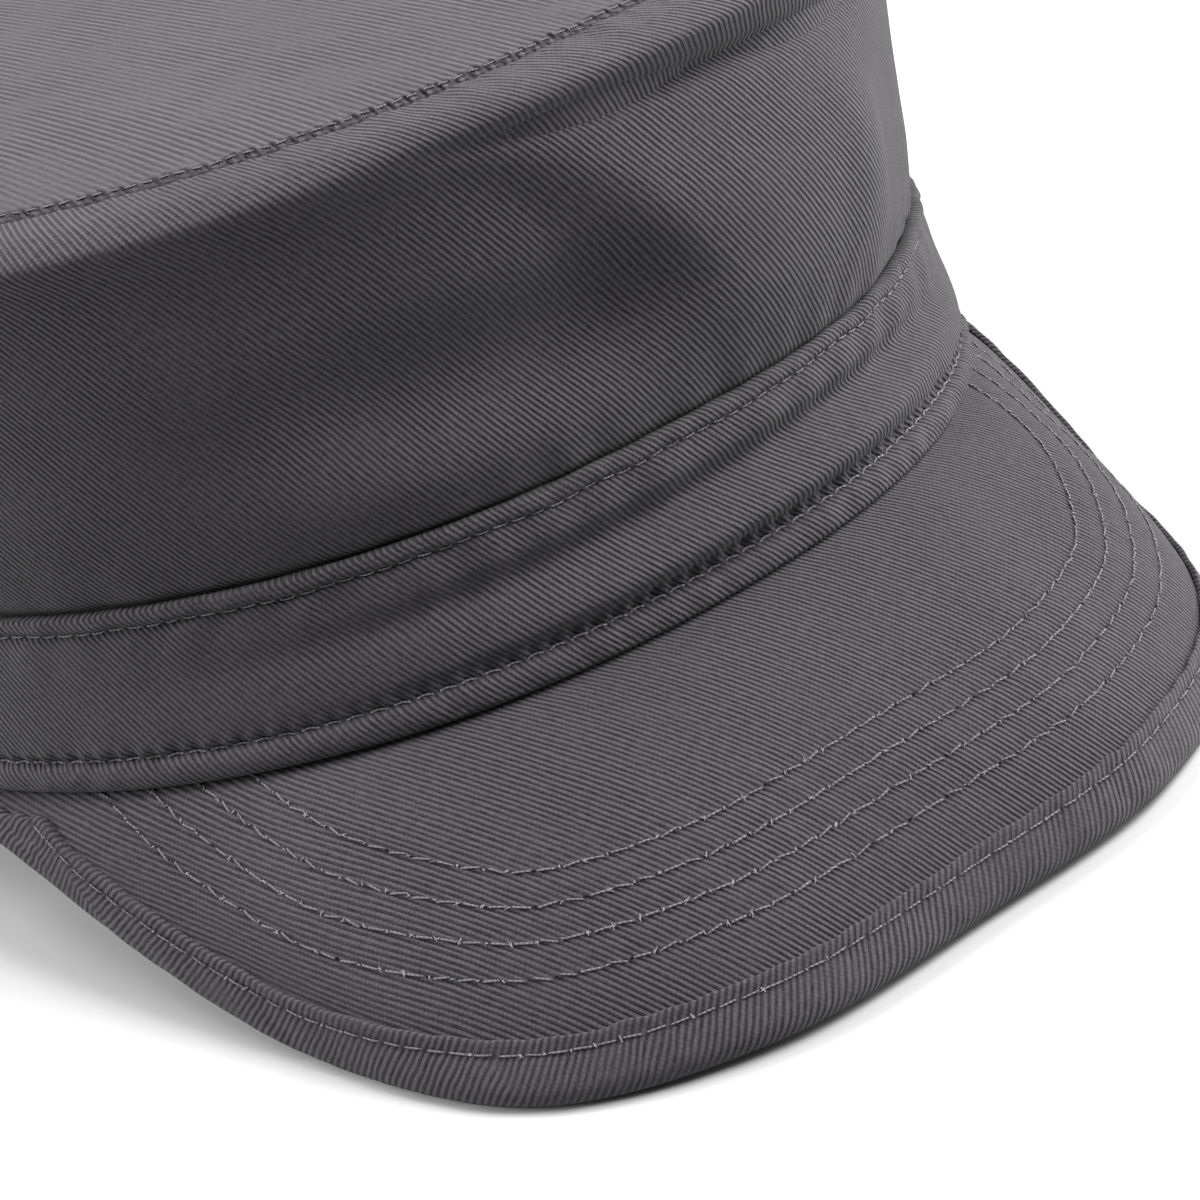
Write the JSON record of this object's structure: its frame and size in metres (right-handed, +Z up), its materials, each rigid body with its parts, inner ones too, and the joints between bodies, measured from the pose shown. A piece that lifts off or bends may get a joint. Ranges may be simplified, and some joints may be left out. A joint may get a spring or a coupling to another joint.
{
  "type": "patrol cap",
  "caption": "Flat-topped cloth patrol cap with a rolled shoulder, a stitched band and a short curved peak edged with folded tape, lying on a surface.",
  "frame": {"origin": "middle of the bounding box on the floor plane that the cap rests on", "axes": "+Z up, -Y out of the front of the cap over the peak, +X to the wearer's left"},
  "size_m": [0.191, 0.2514, 0.1074],
  "materials": {
    "crown_cloth": "matt charcoal cotton twill",
    "band_cloth": "matt charcoal cotton twill",
    "peak_cloth": "matt charcoal cotton twill over a stiff insert",
    "tape": "matt charcoal twill tape cut on the bias"
  },
  "bodies": {
    "root": {"crown_top": "crown_cloth", "crown_side": "crown_cloth", "band": "band_cloth", "peak": "peak_cloth", "peak_binding": "tape"}
  },
  "joints": []
}
